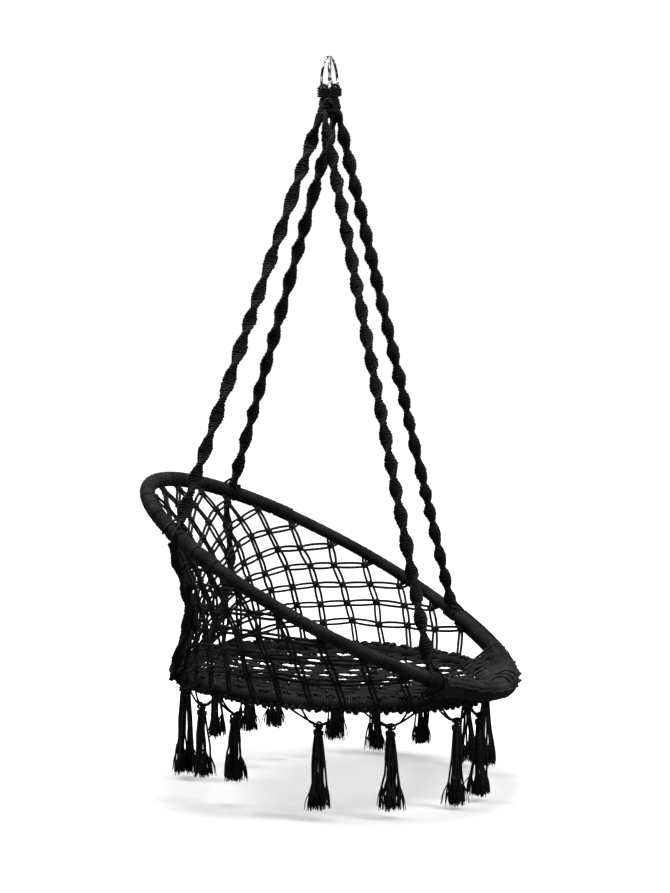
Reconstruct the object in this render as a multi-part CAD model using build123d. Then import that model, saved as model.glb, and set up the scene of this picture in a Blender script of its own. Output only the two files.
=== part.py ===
from build123d import *
import math
import os

# Knotted-cord hanging chair.
# The origin is the point where the hook bears on the inside top of the two hanging rings.
# +Z is up and -Y is the way a sitter faces. Right-hand pieces are on -X, left-hand pieces on +X.
# Lengths are millimetres and angles are degrees. An angle round a hoop is 0 at its front and
# grows towards +X.

# ---- driving dimensions: hoops ----
HOOP_TUBE_OD = 18.0
HOOP_TUBE_WALL = 1.2
HOOP_JOINT_GAP = 1.0  # between the two ends of a bent tube
COUPLER_LENGTH = 50.0  # the plug that joins the ends of a bent tube
COUPLER_CLEARANCE = 0.2

HANG_HEIGHT = 986.2  # hook to the centre of the back hoop
BACK_HOOP_AFT = 1.0  # how far the back hoop's centre is behind the hook
BACK_HOOP_RADIUS = 387.0
BACK_HOOP_TILT = 28.6
BACK_WRAP = 2.5  # thickness of the cord wound round the tube
BACK_WRAP_LEAD = 4.0  # the winding runs on this far past each front hitch

SEAT_HOOP_RADIUS = 300.0
SEAT_HOOP_TILT = 2.5
SEAT_WRAP = 3.0
SEAT_WRAP_START = 6.0
HOOP_GAP = 0.5  # between the wound tubes where the hoops meet at the front
LASH_ANGLE = 16.0  # the seat hoop lies behind the back hoop, this far below level

# ---- driving dimensions: rings and what hangs on them ----
RING_OD = 68.0
RING_WIRE = 5.0
RING_GAP = 0.2  # between the two rings at the hook
RING_LEAN = 8.0  # each ring leans away from the other by this
EYE_CORD = 4.0
EYE_SLACK = 1.5  # each side of the wire, at the narrow sides of the eye
EYE_PLAY = 13.5  # how much taller the eye is inside than the wire
EYE_WIDTH = 14.0  # along the wire
GATHER_HEIGHT = 24.0
GATHER_TOP = (26.0, 38.0)

# ---- driving dimensions: ropes ----
ROPE_OD = 24.0
ROPE_FIT = 0.2  # between a rope's end and the piece it is tied to
ROPE_TOP_GAP = 3.2  # between the upper ends of two ropes
GATHER_TURN = 68.0  # degrees that the chair hangs turned round from its gather of ropes
# the ropes are tied a little askew, so the chair hangs turned a few degrees on them
FRONT_ROPE_ANGLES = {"right": 43.0, "left": 57.5}
REAR_ROPE_ANGLES = {"right": 129.0, "left": 140.0}
HITCH_THICKNESS = 5.0
HITCH_LENGTH = 32.0
DROP_ROPE_OD = 22.0
DROP_ROPE_END = 4.0  # from a hitch to the top of the tail under it
DROP_ROPE_CLEARANCE = 1.6  # between a tail and the back net inside it
DROP_KNOT_THICKNESS = 3.0
DROP_KNOT_CLEARANCE = 1.5  # between a knot on the seat hoop and the back net outside it
DROP_KNOT_REACH = 11.0  # how far above and below the hoop's centreline a knot reaches

# ---- driving dimensions: nets and edging ----
NET_THICKNESS = 4.0
NET_FIT = 0.3
NET_START = 44.2  # the back net meets the back hoop from this angle on, each side of the front
NET_PANELS = 30
NET_WAIST = 36.0  # how far the net is drawn in, half way up, at the rear
NET_WAIST_START = 88.0  # the drawing in begins at this angle of the back hoop
NET_WAIST_FULL = 148.0  # and is full from this angle on
SEAT_NET_THICKNESS = 8.0
SEAT_NET_SAG = 22.0
SEAT_NET_RINGS = 6
EDGING_THICKNESS = 9.0
EDGING_GAP = 5.0  # between an end of the edging and the winding
LASH_CORD = 3.0
LASH_WIDTH = 8.0
LASH_CLEARANCE = 1.0
LASH_SPACING = 35.0
LASH_COUNT = 3

# ---- driving dimensions: tassels ----
BRIDLE_DROP = 28.0  # seat winding to the middle of a bridle's knot
BRIDLE_HALF_ANGLE = 5.0  # each leg of a bridle leaves the hoop this far from the tassel
BRIDLE_CORD = 7.0  # a pair of cords side by side
BRIDLE_KNOT = 12.0
BRIDLE_FIT = 0.3  # between a bridle's legs and the winding that they hang from
TASSEL_GAP = 0.3  # between a bridle's knot and the tassel, wherever the tassel swings
TASSEL_NECK = 18.0
TASSEL_FRAY = 36.0
TASSEL_FRAY_HEIGHT = 30.0
TASSEL_NECK_HEIGHT = 14.0
# (angle round the seat hoop, depth of the tip below the hoop's centreline)
TASSELS = [
    (-178, 216),
    (-134, 172),
    (-116, 162),
    (-84, 193),
    (-59, 191),
    (-31, 196),
    (-16, 191),
    (29, 185),
    (44, 195),
    (68, 180),
    (88, 206),
    (104, 191),
    (128, 165),
    (140, 168),
    (156, 170),
]

# ---- sizes that follow from the driving dimensions ----
TUBE_R = HOOP_TUBE_OD / 2
BORE_R = TUBE_R - HOOP_TUBE_WALL
BACK_R = TUBE_R + BACK_WRAP  # outside of the back hoop's winding
SEAT_R = TUBE_R + SEAT_WRAP
ROPE_R = ROPE_OD / 2
DROP_R = DROP_ROPE_OD / 2
HITCH_R = BACK_R + HITCH_THICKNESS
NET_OUT = SEAT_R + DROP_KNOT_THICKNESS + DROP_KNOT_CLEARANCE + NET_THICKNESS / 2
ROPE_TOP_SPACING = ROPE_OD + ROPE_TOP_GAP
GATHER_BOTTOM = (2 * ROPE_OD, ROPE_TOP_SPACING + ROPE_OD)
EYE_HEIGHT = RING_WIRE + EYE_PLAY
RING_R = (RING_OD - RING_WIRE) / 2
WIRE_R = RING_WIRE / 2


SIDES = {"right": -1, "left": 1}


class Hoop:
    """A round hoop, leaning back about the X axis, given by its centreline."""

    def __init__(self, radius, centre_y, centre_z, tilt):
        self.radius = radius
        self.place = Location((0, centre_y, centre_z), (tilt, 0, 0))

    def at(self, angle, out=0.0, up=0.0):
        """A point near the centreline: out is away from the hoop's axis and up is along it."""
        reach = self.radius + out
        turn = math.radians(angle)
        local = Pos(reach * math.sin(turn), -reach * math.cos(turn), up)
        return (self.place * local).position

    def tangent(self, angle):
        return unit(self.at(angle + 0.5) - self.at(angle - 0.5))

    def nearest(self, point):
        """The point of the centreline that is nearest to a point off it."""
        local = (self.place.inverse() * Pos(point)).position
        scale = self.radius / math.hypot(local.X, local.Y)
        return (self.place * Pos(local.X * scale, local.Y * scale, 0)).position

    def angle_of(self, point):
        """The angle round the hoop at which a point lies, from 0 to 180 on either side."""
        local = (self.place.inverse() * Pos(point)).position
        return math.degrees(math.atan2(abs(local.X), -local.Y))

    def angle_at_x(self, x):
        return math.degrees(math.asin(x / self.radius))

    def around(self, section, start, end):
        """The section, drawn in the XZ plane with X as the radius, swept from start to end."""
        solid = revolve(section, axis=Axis.Z, revolution_arc=end - start)
        return self.place * solid.rotate(Axis.Z, start - 90)

    def sleeve(self, inner, outer, start, end):
        """A round sleeve on the tube, between two radii from its centreline."""
        ring = Circle(outer) - Circle(inner)
        return self.around(Plane.XZ * Pos(self.radius, 0) * ring, start, end)

    def rod(self, rod_radius, start, end):
        section = Plane.XZ * Pos(self.radius, 0) * Circle(rod_radius)
        return self.around(section, start, end)


def unit(vector):
    return vector.normalized()


def stop_short(along, tangent, tube_radius, rod_radius):
    """How far from a tube's centreline a rod's flat end stops, to be clear of the tube."""
    slant = abs(along.dot(tangent))
    return (tube_radius + rod_radius * slant) / math.sqrt(1 - slant**2)


def outer_half(inner, outer):
    """The half of a ring on the +X side, for something that covers the outside of a tube."""
    return (Circle(outer) - Circle(inner)) & Pos(outer, 0) * Rectangle(2 * outer, 2 * outer)


def rod_between(start, end, radius):
    """A round rod from one point to another."""
    start = Vector(start)
    along = Vector(end) - start
    base = Plane(origin=start, z_dir=along)
    return extrude(base * Circle(radius), amount=along.length)


back_hoop = Hoop(BACK_HOOP_RADIUS, BACK_HOOP_AFT, -HANG_HEIGHT, BACK_HOOP_TILT)

# The seat hoop is lashed behind the front of the back hoop, one wound tube from the other.
lash_reach = BACK_R + SEAT_R + HOOP_GAP
lash_turn = math.radians(LASH_ANGLE)
back_front = back_hoop.at(0)
seat_front_y = back_front.Y + lash_reach * math.cos(lash_turn)
seat_front_z = back_front.Z - lash_reach * math.sin(lash_turn)
seat_turn = math.radians(SEAT_HOOP_TILT)
seat_hoop = Hoop(
    SEAT_HOOP_RADIUS,
    seat_front_y + SEAT_HOOP_RADIUS * math.cos(seat_turn),
    seat_front_z + SEAT_HOOP_RADIUS * math.sin(seat_turn),
    SEAT_HOOP_TILT,
)


def hanging_ring(side):
    """A welded wire ring. side is -1 for the front ring and 1 for the rear one."""
    wire = Plane.XZ * Pos(RING_R, 0) * Circle(WIRE_R)
    ring = revolve(wire, axis=Axis.Z, revolution_arc=360).rotate(Axis.X, 90)
    ring = Pos(0, 0, -RING_R) * ring
    return ring_place(side) * ring


def ring_place(side):
    """Where the centre of a ring's wire is at its top, with the ring's lean."""
    aside = side * (WIRE_R + RING_GAP / 2)
    return Location((0, aside, WIRE_R), (side * RING_LEAN, 0, 0))


def ring_bottom(side):
    """The centre of the wire at the bottom of a ring."""
    return (ring_place(side) * Pos(0, 0, -2 * RING_R)).position


def ring_eye(side):
    """The upright cord eye that goes round the bottom of a ring."""
    inner_width = RING_WIRE + 2 * EYE_SLACK
    inner = SlotOverall(EYE_HEIGHT, inner_width, rotation=90)
    outer = SlotOverall(EYE_HEIGHT + 2 * EYE_CORD, inner_width + 2 * EYE_CORD, rotation=90)
    eye = extrude(Plane.YZ * (outer - inner), amount=EYE_WIDTH / 2, both=True)
    return Pos(ring_bottom(side)) * eye


def gather_top_z():
    return ring_bottom(1).Z - EYE_HEIGHT / 2 - EYE_CORD - ROPE_FIT


def gather():
    """The block of knots where the four ropes come together under the rings."""
    top = Plane.XY.offset(gather_top_z()) * RectangleRounded(*GATHER_TOP, 8)
    bottom_z = gather_top_z() - GATHER_HEIGHT
    bottom = Plane.XY.offset(bottom_z) * RectangleRounded(*GATHER_BOTTOM, 12)
    return loft([top.face(), bottom.face()])


def rope_top(side_x, side_y):
    """The middle of a rope's upper end, just under the gather."""
    drop = ROPE_R / 2 + ROPE_FIT
    z = gather_top_z() - GATHER_HEIGHT - drop
    aside = Vector(side_x, side_y, 0).rotate(Axis.Z, -GATHER_TURN) * (ROPE_TOP_SPACING / 2)
    return Vector(aside.X, aside.Y, z)


def rope(side_x, side_y, angle):
    """One of the four ropes that carry the chair, tied to the back hoop at an angle."""
    top = rope_top(side_x, side_y)
    tied_to = back_hoop.at(angle)
    along = unit(tied_to - top)
    stop = stop_short(along, back_hoop.tangent(angle), HITCH_R + ROPE_FIT, ROPE_R)
    return rod_between(top, tied_to - along * stop, ROPE_R)


def hitch(angle, spare=0.0):
    """The knots that tie a rope round the back hoop. spare makes a cutter of it."""
    half = math.degrees((HITCH_LENGTH / 2 + spare) / BACK_HOOP_RADIUS)
    inner = BACK_R + ROPE_FIT - spare
    return back_hoop.sleeve(inner, HITCH_R + spare, angle - half, angle + half)


def bent_tube(hoop):
    """A steel tube bent into a hoop, with its two ends facing each other at the front."""
    half_gap = math.degrees(HOOP_JOINT_GAP / 2 / hoop.radius)
    return hoop.sleeve(BORE_R, TUBE_R, half_gap, 360 - half_gap)


def coupler(hoop):
    """The plug inside a bent tube, across the joint between its ends."""
    half = math.degrees(COUPLER_LENGTH / 2 / hoop.radius)
    return hoop.rod(BORE_R - COUPLER_CLEARANCE, -half, half)


def winding_start(side):
    """The angle on one side at which the back hoop's winding begins, just before the hitch."""
    lead = math.degrees((HITCH_LENGTH / 2 + BACK_WRAP_LEAD) / BACK_HOOP_RADIUS)
    return FRONT_ROPE_ANGLES[side] - lead


def edging_end(side):
    return winding_start(side) - math.degrees(EDGING_GAP / BACK_HOOP_RADIUS)


def winding(hoop, outer, left, right):
    """The cord wound round a tube, open at the front between its left and right starts."""
    return hoop.sleeve(TUBE_R, outer, left, 360 - right)


def net_line(angle):
    """Where the back net's middle surface starts, which way it climbs and which way is out."""
    low = seat_hoop.at(angle, out=NET_OUT)
    climb = back_hoop.nearest(low) - low
    out = unit(seat_hoop.tangent(angle).cross(climb))
    return low, climb, out


def net_angle_under(angle):
    """The angle round the seat hoop from which the back net climbs to an angle of the back hoop."""
    low, high = 0.0, 180.0
    for _ in range(40):
        middle = (low + high) / 2
        if back_hoop.angle_of(seat_hoop.at(middle, out=NET_OUT)) < angle:
            low = middle
        else:
            high = middle
    return low


def waist(point):
    """How far the back net is drawn in, half way up, on the line that reaches the back hoop there."""
    share = (back_hoop.angle_of(point) - NET_WAIST_START) / (NET_WAIST_FULL - NET_WAIST_START)
    inward = unit(Vector(-point.X, -point.Y, 0))
    return inward * (NET_WAIST * min(max(share, 0), 1))


def net_corners(angle):
    """The corners of the back net's section at an angle, up its inside and down its outside."""
    low, climb, out = net_line(angle)
    high = low + climb * (1 - (BACK_R + NET_FIT) / climb.length)
    middle = (low + high) * 0.5 + waist(high)
    across = out * (NET_THICKNESS / 2)
    line = [low, middle, high]
    return [p - across for p in line] + [p + across for p in reversed(line)]


def back_net():
    """The knotted net between the hoops, as a skin that goes round the back of the seat."""
    first = net_angle_under(NET_START)
    step = (360 - 2 * first) / NET_PANELS
    angles = [first + step * i for i in range(NET_PANELS + 1)]
    sections = [Wire.make_polygon(net_corners(angle)) for angle in angles]
    skin = Solid.make_loft(sections, ruled=True)
    for side, side_x in SIDES.items():
        for angles in (FRONT_ROPE_ANGLES, REAR_ROPE_ANGLES):
            skin -= hitch(side_x * angles[side], spare=NET_FIT)
    return skin


def seat_net():
    """The close net inside the seat hoop, dished a little by its own weight."""
    rim = SEAT_HOOP_RADIUS - SEAT_R - NET_FIT
    half = SEAT_NET_THICKNESS / 2
    steps = [i / SEAT_NET_RINGS for i in range(SEAT_NET_RINGS + 1)]
    top = [(rim * s, half - SEAT_NET_SAG * (1 - s * s)) for s in steps]
    under = [(x, z - SEAT_NET_THICKNESS) for x, z in reversed(top)]
    section = Plane.XZ * Polygon(*top, *under, align=None)
    dish = seat_hoop.place * revolve(section, axis=Axis.Z, revolution_arc=360)
    for x in lash_places():
        slot = lash_outline(x, LASH_CORD + NET_FIT)
        dish -= extrude(slot, amount=LASH_WIDTH / 2 + NET_FIT, both=True)
    return dish


def front_edging():
    """The knotted edge on the outside of the back hoop's front, between its windings."""
    inner = TUBE_R + NET_FIT
    section = outer_half(inner, inner + EDGING_THICKNESS)
    placed = Plane.XZ * Pos(BACK_HOOP_RADIUS, 0) * section
    return back_hoop.around(placed, -edging_end("right"), edging_end("left"))


def lash_outline(x, extra):
    """The outline that holds both hoops at the front, in the plane at that x."""
    behind = seat_hoop.at(seat_hoop.angle_at_x(x))
    front = back_hoop.at(back_hoop.angle_at_x(x))
    front_r = TUBE_R + NET_FIT + EDGING_THICKNESS + LASH_CLEARANCE
    behind_r = SEAT_R + LASH_CLEARANCE
    a = Pos(front.Y, front.Z) * Circle(front_r + extra)
    b = Pos(behind.Y, behind.Z) * Circle(behind_r + extra)
    return Plane.YZ.offset(x) * make_hull([*a.edges(), *b.edges()])


def lash_loop(x):
    """One loop of cord round both hoops at the front."""
    band = lash_outline(x, LASH_CORD) - lash_outline(x, 0)
    return extrude(band, amount=LASH_WIDTH / 2, both=True)


def lash_places():
    first = -LASH_SPACING * (LASH_COUNT - 1) / 2
    return [first + LASH_SPACING * i for i in range(LASH_COUNT)]


def front_lashing():
    return Compound([lash_loop(x) for x in lash_places()])


def tail_angle(side):
    """The angle round the seat hoop to which a rear rope's tail goes down."""
    return SIDES[side] * net_angle_under(REAR_ROPE_ANGLES[side])


def drop_rope(side):
    """The tail of a rear rope, which goes on down outside the net to the seat hoop."""
    low, climb, out = net_line(tail_angle(side))
    aside = out * (NET_THICKNESS / 2 + DROP_ROPE_CLEARANCE + DROP_R)
    high = low + climb * (1 - (HITCH_R + DROP_ROPE_END) / climb.length)
    middle = (low + high) * 0.5 + waist(high) + aside
    ends = [rod_between(end + aside, middle, DROP_R) for end in (low, high)]
    return ends[0] + ends[1] + Pos(middle) * Sphere(DROP_R)


def drop_knot(side):
    """The knots that tie a rear rope's tail to the outside of the seat hoop."""
    half = math.degrees(HITCH_LENGTH / 2 / SEAT_HOOP_RADIUS)
    angle = tail_angle(side)
    outer = SEAT_R + DROP_KNOT_THICKNESS
    reach = Rectangle(4 * outer, 2 * DROP_KNOT_REACH)
    section = outer_half(SEAT_R + ROPE_FIT, outer) & reach
    placed = Plane.XZ * Pos(SEAT_HOOP_RADIUS, 0) * section
    return seat_hoop.around(placed, angle - half, angle + half)


def tassel_top(angle):
    """The middle of a bridle's knot, straight below the seat hoop."""
    return seat_hoop.at(angle) - Vector(0, 0, SEAT_R + BRIDLE_DROP)


def bridle(angle):
    """The V of doubled cord that carries a tassel, ending in its knot."""
    knot = tassel_top(angle)
    ends = [seat_hoop.at(angle + side * BRIDLE_HALF_ANGLE) - knot for side in (-1, 1)]
    level = unit(Vector(ends[1].X - ends[0].X, ends[1].Y - ends[0].Y, 0))
    (left, left_top), (right, right_top) = [
        (end.dot(level), end.Z - SEAT_R - BRIDLE_FIT) for end in ends
    ]
    leg, half = BRIDLE_CORD / 2, BRIDLE_KNOT / 2
    outline = [
        (-half, 0),
        (-half / 2, -half),
        (half / 2, -half),
        (half, 0),
        (right + leg, right_top),
        (right - leg, right_top),
        (0, half),
        (left + leg, left_top),
        (left - leg, left_top),
    ]
    face = Plane(origin=knot, x_dir=level, z_dir=level.cross(Vector(0, 0, 1)))
    return extrude(face * Polygon(*outline, align=None), amount=leg, both=True)


def tassel(angle, depth):
    """A bundle of cords, narrow at the neck and frayed out at the tip."""
    knot = tassel_top(angle)
    top = -math.hypot(BRIDLE_KNOT, BRIDLE_CORD) / 2 - TASSEL_GAP
    tip = -(depth - SEAT_R - BRIDLE_DROP)
    neck, fray = TASSEL_NECK / 2, TASSEL_FRAY / 2
    outline = [
        (0, top),
        (0.7 * neck, top),
        (neck, top - TASSEL_NECK_HEIGHT / 2),
        (0.8 * neck, top - TASSEL_NECK_HEIGHT),
        (1.3 * neck, tip + TASSEL_FRAY_HEIGHT),
        (fray, tip),
        (0, tip),
    ]
    profile = Plane.XZ * Polygon(*outline, align=None)
    return Pos(knot) * revolve(profile, axis=Axis.Z, revolution_arc=360)


nodes = {
    "front_ring": hanging_ring(-1),
    "rear_ring": hanging_ring(1),
    "front_ring_eye": ring_eye(-1),
    "rear_ring_eye": ring_eye(1),
    "rope_gather": gather(),
    "back_hoop_tube": bent_tube(back_hoop),
    "back_hoop_coupler": coupler(back_hoop),
    "back_hoop_winding": winding(
        back_hoop, BACK_R, winding_start("left"), winding_start("right")
    ),
    "back_net": back_net(),
    "front_edging": front_edging(),
    "front_lashing": front_lashing(),
    "seat_hoop_tube": bent_tube(seat_hoop),
    "seat_hoop_coupler": coupler(seat_hoop),
    "seat_hoop_winding": winding(seat_hoop, SEAT_R, SEAT_WRAP_START, SEAT_WRAP_START),
    "seat_net": seat_net(),
    "tassel_bridles": Compound([bridle(angle) for angle, _ in TASSELS]),
}
for side, side_x in SIDES.items():
    front, rear = side_x * FRONT_ROPE_ANGLES[side], side_x * REAR_ROPE_ANGLES[side]
    nodes[f"front_rope_{side}"] = rope(side_x, -1, front)
    nodes[f"rear_rope_{side}"] = rope(side_x, 1, rear)
    nodes[f"front_hitch_{side}"] = hitch(front)
    nodes[f"rear_hitch_{side}"] = hitch(rear)
    nodes[f"drop_rope_{side}"] = drop_rope(side)
    nodes[f"drop_knot_{side}"] = drop_knot(side)
for number, (angle, depth) in enumerate(TASSELS, start=1):
    nodes[f"tassel_{number:02d}"] = tassel(angle, depth)

os.makedirs("parts", exist_ok=True)
for name, shape in nodes.items():
    export_step(shape, f"parts/{name}.step")

hinge = (back_front + seat_hoop.at(0)) * 0.5
print("front_hinge", [round(v, 3) for v in (hinge.X, hinge.Y, hinge.Z)])
print("tail_angles", [round(tail_angle(side), 2) for side in SIDES])
print("ring_bottoms", [[round(v, 3) for v in ring_bottom(side)] for side in (-1, 1)])
for number, (angle, _) in enumerate(TASSELS, start=1):
    place = tassel_top(angle)
    print("tassel", number, angle, [round(v, 3) for v in (place.X, place.Y, place.Z)])
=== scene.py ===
import math

import bpy
import numpy as np
from mathutils import Matrix, Vector


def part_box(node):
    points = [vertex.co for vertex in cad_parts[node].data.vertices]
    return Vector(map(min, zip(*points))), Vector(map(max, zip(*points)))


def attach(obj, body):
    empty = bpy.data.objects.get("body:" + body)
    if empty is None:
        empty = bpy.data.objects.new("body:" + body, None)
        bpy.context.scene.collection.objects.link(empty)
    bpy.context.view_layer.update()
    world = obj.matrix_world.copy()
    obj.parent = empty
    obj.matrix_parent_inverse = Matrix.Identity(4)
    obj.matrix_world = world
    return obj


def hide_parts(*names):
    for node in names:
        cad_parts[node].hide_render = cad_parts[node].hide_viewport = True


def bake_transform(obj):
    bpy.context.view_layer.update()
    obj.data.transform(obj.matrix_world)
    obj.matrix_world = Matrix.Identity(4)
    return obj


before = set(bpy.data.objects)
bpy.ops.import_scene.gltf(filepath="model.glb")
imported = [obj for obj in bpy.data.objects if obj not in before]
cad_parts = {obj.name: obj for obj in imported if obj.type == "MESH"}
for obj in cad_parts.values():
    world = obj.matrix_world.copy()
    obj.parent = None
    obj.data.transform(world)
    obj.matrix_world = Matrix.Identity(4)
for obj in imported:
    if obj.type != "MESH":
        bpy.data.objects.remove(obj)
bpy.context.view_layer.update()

bl_info = {
    "name": "Knotted Hanging Chair",
    "version": (1, 0, 0),
    "blender": (4, 5, 0),
    "location": "3D View > Sidebar > Hanging Chair",
    "description": "Dresses the hanging chair's frame in knotted cotton cord",
    "category": "Add Mesh",
}

# The chair hangs from the origin. +Z is up and -Y is the way a sitter faces. Right is -X and
# left is +X. An angle round a hoop is in degrees, 0 at its front and growing towards +X.

TUBE_RADIUS = 0.009
CORD_MAP = "Cord"
SIDES = {"right": -1, "left": 1}
TASSEL_NODES = sorted(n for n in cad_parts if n.startswith("tassel_") and n[-1].isdigit())
UP = np.array((0.0, 0.0, 1.0))
ACROSS = np.array((1.0, 0.0, 0.0))


# ---- places on the frame ----


def unit(vectors):
    vectors = np.asarray(vectors, float)
    return vectors / np.linalg.norm(vectors, axis=-1, keepdims=True)


def column(values):
    return np.asarray(values, float)[..., None]


def corners_of(node):
    """The lowest and highest corners of a CAD node's box."""
    low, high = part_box(node)
    return np.array(low), np.array(high)


def middle(node):
    low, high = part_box(node)
    return np.array((low + high) / 2)


def smooth_line(points, count):
    """A smooth line through a few points, as count points along it."""
    points = np.asarray(points, float)
    padded = np.vstack([2 * points[0] - points[1], points, 2 * points[-1] - points[-2]])
    where = np.linspace(0, len(points) - 1, count)
    first = np.minimum(where.astype(int), len(points) - 2)
    t = column(where - first)
    a, b, c, d = (padded[first + k] for k in range(4))
    return 0.5 * (2 * b + (c - a) * t + (2 * a - 5 * b + 4 * c - d) * t**2 + (3 * (b - c) + d - a) * t**3)


class Hoop:
    """A round hoop's centreline, leaning back about X, read from the box of its steel tube."""

    def __init__(self, tube_node):
        low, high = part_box(tube_node)
        reach = np.array(high - low) / 2 - TUBE_RADIUS
        tilt = math.atan2(reach[2], reach[1])
        self.centre = np.array((low + high) / 2)
        self.radius = float(reach[0])
        self.forward = np.array((0, -math.cos(tilt), -math.sin(tilt)))
        self.axis = np.array((0, -math.sin(tilt), math.cos(tilt)))

    def outward(self, angle):
        turn = np.radians(angle)
        return column(np.sin(turn)) * ACROSS + column(np.cos(turn)) * self.forward

    def at(self, angle, out=0.0, up=0.0):
        """Points near the centreline: out is away from the hoop's axis and up is along it."""
        reach = column(self.radius + np.asarray(out, float))
        return self.centre + reach * self.outward(angle) + column(up) * self.axis

    def angle_of(self, point):
        """The angle round the hoop, from -180 to 180, at which a point lies."""
        local = np.asarray(point, float) - self.centre
        return np.degrees(np.arctan2(local @ ACROSS, local @ self.forward))

    def degrees(self, length):
        return math.degrees(length / self.radius)


back = Hoop("back_hoop_tube")
seat = Hoop("seat_hoop_tube")


class NetSurface:
    """The sheet that the back net lies in, from the back hoop down to the seat hoop.

    A place on it is an arc, which is a length along the back hoop from its rear, positive on
    the left, and a depth below the back hoop's centreline.
    """

    OUTSIDE = 0.0185  # how far outside the seat hoop's centreline the net meets it
    WAIST = 0.050  # how far the net is drawn in, half way up, at the rear
    WAIST_START, WAIST_FULL = 78, 148  # angles of the back hoop between which that sets in

    def __init__(self):
        self.seat_angles = np.linspace(0, 180, 361)
        low = seat.at(self.seat_angles, out=self.OUTSIDE)
        self.back_angles = np.abs(back.angle_of(low))

    def ends(self, arc):
        """Where the line at an arc leaves the back hoop and where it meets the seat hoop."""
        arc = np.asarray(arc, float)
        turn = 180 - np.degrees(np.abs(arc) / back.radius)
        side = np.where(arc < 0, -1.0, 1.0)
        low = np.interp(turn, self.back_angles, self.seat_angles)
        return back.at(side * turn), seat.at(side * low, out=self.OUTSIDE)

    def drop(self, arc):
        high, low = self.ends(arc)
        return np.linalg.norm(low - high, axis=-1)

    def at(self, arc, depth):
        high, low = self.ends(arc)
        share = np.asarray(depth, float) / np.linalg.norm(low - high, axis=-1)
        place = high + (low - high) * column(share)
        inward = place * (-1, -1, 0)
        turn = 180 - np.degrees(np.abs(arc) / back.radius)
        drawn = np.clip((turn - self.WAIST_START) / (self.WAIST_FULL - self.WAIST_START), 0, 1)
        amount = self.WAIST * drawn * 4 * share * (1 - share)
        return place + unit(inward + 1e-9) * column(amount)

    def directions(self, arc, depth):
        """The way along the hoops, the way down and the way out of the sheet at a place."""
        small = 0.004
        along = unit(self.at(arc + small, depth) - self.at(arc - small, depth))
        down = unit(self.at(arc, depth + small) - self.at(arc, depth - small))
        return along, down, unit(np.cross(down, along))


net_surface = NetSurface()


# ---- mesh work ----


class Strands:
    """Round cords, gathered up as tubes and made into one mesh.

    Each tube has a map with its length in metres one way and its turn, from 0 to 1, the other.
    """

    def __init__(self):
        self.points, self.faces, self.maps = [], {3: [], 4: []}, {3: [], 4: []}
        self.total = 0

    def add(self, path, radius, guide, sides=6, closed=False):
        """A tube along a path. guide points roughly away from the tube's side."""
        path = np.asarray(path, float)
        count = len(path)
        forward = np.gradient(path, axis=0)
        if closed:
            forward = np.roll(path, -1, 0) - np.roll(path, 1, 0)
        forward = unit(forward)
        guide = np.broadcast_to(guide, path.shape)
        side = unit(guide - forward * (guide * forward).sum(1, keepdims=True))
        other = np.cross(forward, side)
        turn = np.linspace(0, 2 * np.pi, sides, endpoint=False)
        spoke = np.cos(turn)[:, None] * side[:, None] + np.sin(turn)[:, None] * other[:, None]
        radius = np.broadcast_to(radius, count)
        self.points.append((path[:, None] + radius[:, None, None] * spoke).reshape(-1, 3))

        steps = count if closed else count - 1
        i, j = np.meshgrid(np.arange(steps), np.arange(sides), indexing="ij")
        after, beside = (i + 1) % count, (j + 1) % sides
        corners = [i * sides + j, i * sides + beside, after * sides + beside, after * sides + j]
        self.faces[4].append(np.stack(corners, -1).reshape(-1, 4) + self.total)
        around = np.vstack([path, path[:1]]) if closed else path
        length = np.concatenate([[0], np.cumsum(np.linalg.norm(np.diff(around, axis=0), axis=1))])
        u, v = [length[i], length[i], length[i + 1], length[i + 1]], [j, j + 1, j + 1, j]
        places = np.stack([np.stack(u, -1), np.stack(v, -1) / sides], -1)
        self.maps[4].append(places.reshape(-1, 2))
        self.total += count * sides
        if not closed:
            first, last = self.total - count * sides, self.total - sides
            self.cap(path[0] - forward[0] * radius[0] * 0.5, first, sides, -1, 0.0)
            self.cap(path[-1] + forward[-1] * radius[-1] * 0.5, last, sides, 1, length[-1])

    def cap(self, tip, first, sides, way, length):
        """Closes one end of a tube with a low point."""
        j = np.arange(sides)
        a, b = first + j, first + (j + 1) % sides
        centre = np.full(sides, self.total)
        self.points.append(np.asarray(tip)[None])
        self.faces[3].append(np.stack([centre, a, b] if way > 0 else [centre, b, a], -1))
        turns = [j + 0.5, j, j + 1] if way > 0 else [j + 0.5, j + 1, j]
        u = np.full((sides, 3), length)
        self.maps[3].append(np.stack([u, np.stack(turns, -1) / sides], -1).reshape(-1, 2))
        self.total += 1

    def mesh(self, name):
        points = np.concatenate(self.points)
        sizes = [k for k in (4, 3) if self.faces[k]]
        faces = [np.concatenate(self.faces[k]) for k in sizes]
        corners = np.concatenate([f.ravel() for f in faces])
        totals = np.concatenate([np.full(len(f), f.shape[1]) for f in faces])
        mesh = bpy.data.meshes.new(name)
        mesh.vertices.add(len(points))
        mesh.vertices.foreach_set("co", points.ravel().astype(np.float32))
        mesh.loops.add(len(corners))
        mesh.loops.foreach_set("vertex_index", corners.astype(np.int32))
        mesh.polygons.add(len(totals))
        mesh.polygons.foreach_set("loop_start", (np.cumsum(totals) - totals).astype(np.int32))
        mesh.polygons.foreach_set("use_smooth", np.ones(len(totals), bool))
        layer = mesh.uv_layers.new(name=CORD_MAP)
        places = np.concatenate([m for k in sizes for m in self.maps[k]])
        layer.uv.foreach_set("vector", places.ravel().astype(np.float32))
        mesh.update(calc_edges=True)
        mesh.validate()
        return mesh


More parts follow.
